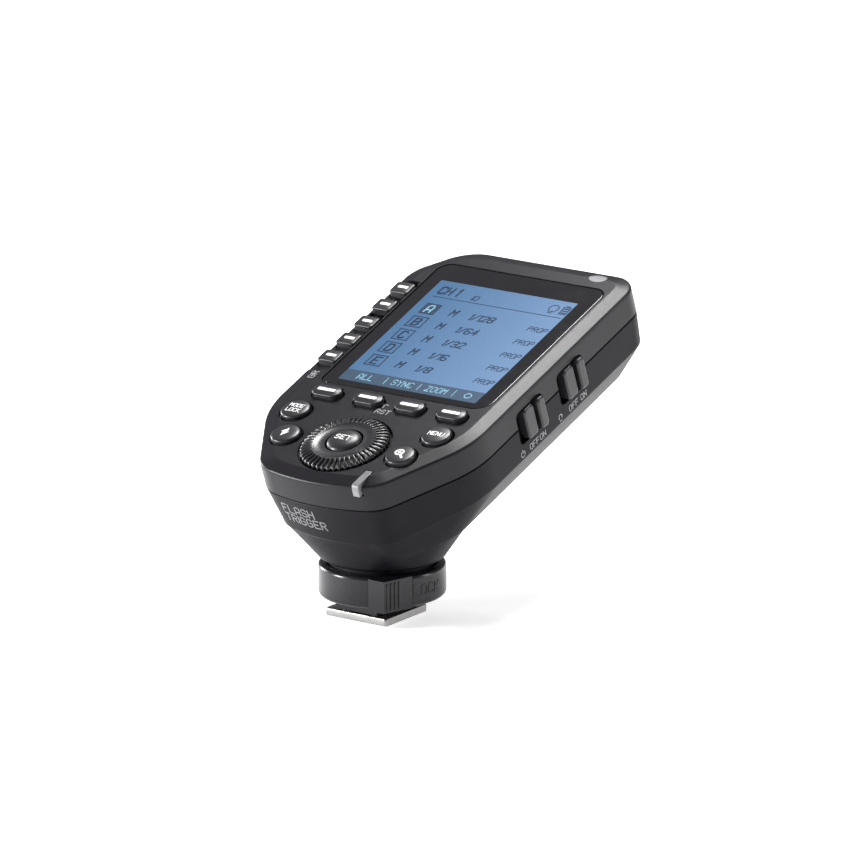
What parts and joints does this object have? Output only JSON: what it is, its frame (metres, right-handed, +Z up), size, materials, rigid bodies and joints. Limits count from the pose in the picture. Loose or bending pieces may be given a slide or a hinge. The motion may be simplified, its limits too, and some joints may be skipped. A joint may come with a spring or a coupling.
{
  "type": "wireless flash trigger",
  "caption": "Camera-top radio flash trigger: sloping display and key face on a hot-shoe foot, with a control dial, side slide switches, battery door and lock ring.",
  "frame": {"origin": "middle of the underside of the hot-shoe foot", "axes": "+X to the operator's right, +Y the way the foot slides into the shoe (towards the raised end of the housing), +Z up out of the shoe"},
  "size_m": [0.0633, 0.1015, 0.0747],
  "materials": {
    "case": "fine-textured charcoal ABS",
    "key": "satin dark grey",
    "dial": "satin dark grey",
    "ring": "semi-gloss black",
    "window": "polished clear over a black border",
    "lcd": "lit blue",
    "backlight": "white diffuser",
    "board": "green solder mask",
    "antenna": "white ceramic",
    "dome_rubber": "moulded silicone",
    "encoder_metal": "plain",
    "light_pipe": "frosted clear",
    "lamp_red": "deep red, polished",
    "socket_plastic": "black",
    "cover_rubber": "matt black",
    "inner_plastic": "plain moulded",
    "cell": "printed sleeve",
    "plated_steel": "nickel plated",
    "contact_gold": "gold plated",
    "foot_metal": "nickel plated, brushed"
  },
  "bodies": {
    "housing": {"upper_case": "case", "lower_case": "case", "display_window": "window", "lcd_panel": "lcd", "backlight": "backlight", "main_board": "board", "antenna_board": "antenna", "switch_dome_sheet": "dome_rubber", "dial_encoder": "encoder_metal", "side_switch_board": "board", "status_light_pipe": "light_pipe", "assist_lamp_lens": "lamp_red", "assist_lamp_led": "lamp_red", "sync_jack": "socket_plastic", "usb_socket": "plated_steel", "battery_tray": "inner_plastic", "battery_cell_left": "cell", "battery_cell_right": "cell", "battery_spring_left": "plated_steel", "battery_spring_right": "plated_steel", "battery_bridge_plate": "contact_gold", "case_screw_1": "plated_steel", "case_screw_2": "plated_steel", "case_screw_3": "plated_steel", "case_screw_4": "plated_steel", "foot_plate": "foot_metal", "base_plate": "case", "contact_block": "socket_plastic", "foot_screw_1": "plated_steel", "foot_screw_2": "plated_steel", "foot_screw_3": "plated_steel", "foot_screw_4": "plated_steel", "lock_pin_spring": "plated_steel"},
    "mode_lock_button": {"mode_lock_button": "key"},
    "menu_button": {"menu_button": "key"},
    "flash_test_button": {"flash_test_button": "key"},
    "zoom_button": {"zoom_button": "key"},
    "function_button_1": {"function_button_1": "key"},
    "function_button_2": {"function_button_2": "key"},
    "function_button_3": {"function_button_3": "key"},
    "function_button_4": {"function_button_4": "key"},
    "group_button_a": {"group_button_a": "key"},
    "group_button_b": {"group_button_b": "key"},
    "group_button_c": {"group_button_c": "key"},
    "group_button_d": {"group_button_d": "key"},
    "group_button_e": {"group_button_e": "key"},
    "set_button": {"set_button": "key"},
    "control_dial": {"control_dial": "dial"},
    "power_switch_knob": {"power_switch_knob": "key"},
    "assist_lamp_switch_knob": {"assist_lamp_switch_knob": "key"},
    "door_slider": {"door_hinge_pin": "plated_steel"},
    "battery_door": {"battery_door": "case"},
    "port_cover": {"port_cover": "cover_rubber"},
    "lock_ring": {"lock_ring": "ring"},
    "lock_pin": {"lock_pin": "plated_steel"},
    "firing_contact": {"firing_contact": "contact_gold"},
    "data_contacts": {"data_contact_1": "contact_gold", "data_contact_2": "contact_gold", "data_contact_3": "contact_gold", "data_contact_4": "contact_gold"}
  },
  "joints": [
    {"name": "mode_lock_press", "type": "slide", "parent": "housing", "child": "mode_lock_button", "axis": [0, 0.3396, -0.9406], "range_m": [0, 0.0005], "stiffness_N_per_m": 1200, "springref_m": -0.0006},
    {"name": "menu_press", "type": "slide", "parent": "housing", "child": "menu_button", "axis": [0, 0.3396, -0.9406], "range_m": [0, 0.0005], "stiffness_N_per_m": 1200, "springref_m": -0.0006},
    {"name": "flash_test_press", "type": "slide", "parent": "housing", "child": "flash_test_button", "axis": [0, 0.3396, -0.9406], "range_m": [0, 0.0005], "stiffness_N_per_m": 1200, "springref_m": -0.0006},
    {"name": "zoom_press", "type": "slide", "parent": "housing", "child": "zoom_button", "axis": [0, 0.3396, -0.9406], "range_m": [0, 0.0005], "stiffness_N_per_m": 1200, "springref_m": -0.0006},
    {"name": "function_1_press", "type": "slide", "parent": "housing", "child": "function_button_1", "axis": [0, 0.3396, -0.9406], "range_m": [0, 0.0005], "stiffness_N_per_m": 1200, "springref_m": -0.0006},
    {"name": "function_2_press", "type": "slide", "parent": "housing", "child": "function_button_2", "axis": [0, 0.3396, -0.9406], "range_m": [0, 0.0005], "stiffness_N_per_m": 1200, "springref_m": -0.0006},
    {"name": "function_3_press", "type": "slide", "parent": "housing", "child": "function_button_3", "axis": [0, 0.3396, -0.9406], "range_m": [0, 0.0005], "stiffness_N_per_m": 1200, "springref_m": -0.0006},
    {"name": "function_4_press", "type": "slide", "parent": "housing", "child": "function_button_4", "axis": [0, 0.3396, -0.9406], "range_m": [0, 0.0005], "stiffness_N_per_m": 1200, "springref_m": -0.0006},
    {"name": "group_a_press", "type": "slide", "parent": "housing", "child": "group_button_a", "axis": [0, 0.3396, -0.9406], "range_m": [0, 0.0004], "stiffness_N_per_m": 1200, "springref_m": -0.0006},
    {"name": "group_b_press", "type": "slide", "parent": "housing", "child": "group_button_b", "axis": [0, 0.3396, -0.9406], "range_m": [0, 0.0004], "stiffness_N_per_m": 1200, "springref_m": -0.0006},
    {"name": "group_c_press", "type": "slide", "parent": "housing", "child": "group_button_c", "axis": [0, 0.3396, -0.9406], "range_m": [0, 0.0004], "stiffness_N_per_m": 1200, "springref_m": -0.0006},
    {"name": "group_d_press", "type": "slide", "parent": "housing", "child": "group_button_d", "axis": [0, 0.3396, -0.9406], "range_m": [0, 0.0004], "stiffness_N_per_m": 1200, "springref_m": -0.0006},
    {"name": "group_e_press", "type": "slide", "parent": "housing", "child": "group_button_e", "axis": [0, 0.3396, -0.9406], "range_m": [0, 0.0004], "stiffness_N_per_m": 1200, "springref_m": -0.0006},
    {"name": "set_press", "type": "slide", "parent": "housing", "child": "set_button", "axis": [0, 0.3396, -0.9406], "range_m": [0, 0.0005], "stiffness_N_per_m": 1200, "springref_m": -0.0006},
    {"name": "dial_turn", "type": "hinge", "parent": "housing", "child": "control_dial", "pos_m": [0, -0.01246, 0.04568], "axis": [0, -0.3396, 0.9406], "continuous": true},
    {"name": "power_switch_slide", "type": "slide", "parent": "housing", "child": "power_switch_knob", "axis": [0, 0.9406, 0.3396], "range_m": [-0.002, 0]},
    {"name": "assist_lamp_switch_slide", "type": "slide", "parent": "housing", "child": "assist_lamp_switch_knob", "axis": [0, 0.9406, 0.3396], "range_m": [-0.002, 0]},
    {"name": "door_slide", "type": "slide", "parent": "housing", "child": "door_slider", "axis": [0, 0.9406, 0.3396], "range_m": [0, 0.0016]},
    {"name": "door_swing", "type": "hinge", "parent": "door_slider", "child": "battery_door", "pos_m": [0, 0.07122, 0.0492], "axis": [1, 0, 0], "range_deg": [0, 95]},
    {"name": "port_cover_hinge", "type": "hinge", "parent": "housing", "child": "port_cover", "pos_m": [-0.03085, 0.03792, 0.04898], "axis": [0, -0.9406, -0.3396], "range_deg": [0, 110]},
    {"name": "lock_ring_turn", "type": "hinge", "parent": "housing", "child": "lock_ring", "pos_m": [0, 0.0025, 0.008], "axis": [0, 0, 1], "range_deg": [0, 75]},
    {"name": "lock_pin_drop", "type": "slide", "parent": "housing", "child": "lock_pin", "axis": [0, 0, 1], "range_m": [-0.0011, 0], "deforming": ["lock_pin_spring"]},
    {"name": "firing_contact_press", "type": "slide", "parent": "housing", "child": "firing_contact", "axis": [0, 0, 1], "range_m": [0, 0.0005], "stiffness_N_per_m": 800, "springref_m": -0.0006},
    {"name": "data_contacts_press", "type": "slide", "parent": "housing", "child": "data_contacts", "axis": [0, 0, 1], "range_m": [0, 0.0005], "stiffness_N_per_m": 800, "springref_m": -0.0006}
  ],
  "couplings": [
    {"joint": "lock_pin_drop", "follows": "lock_ring_turn", "m_per_rad": -0.00084}
  ]
}
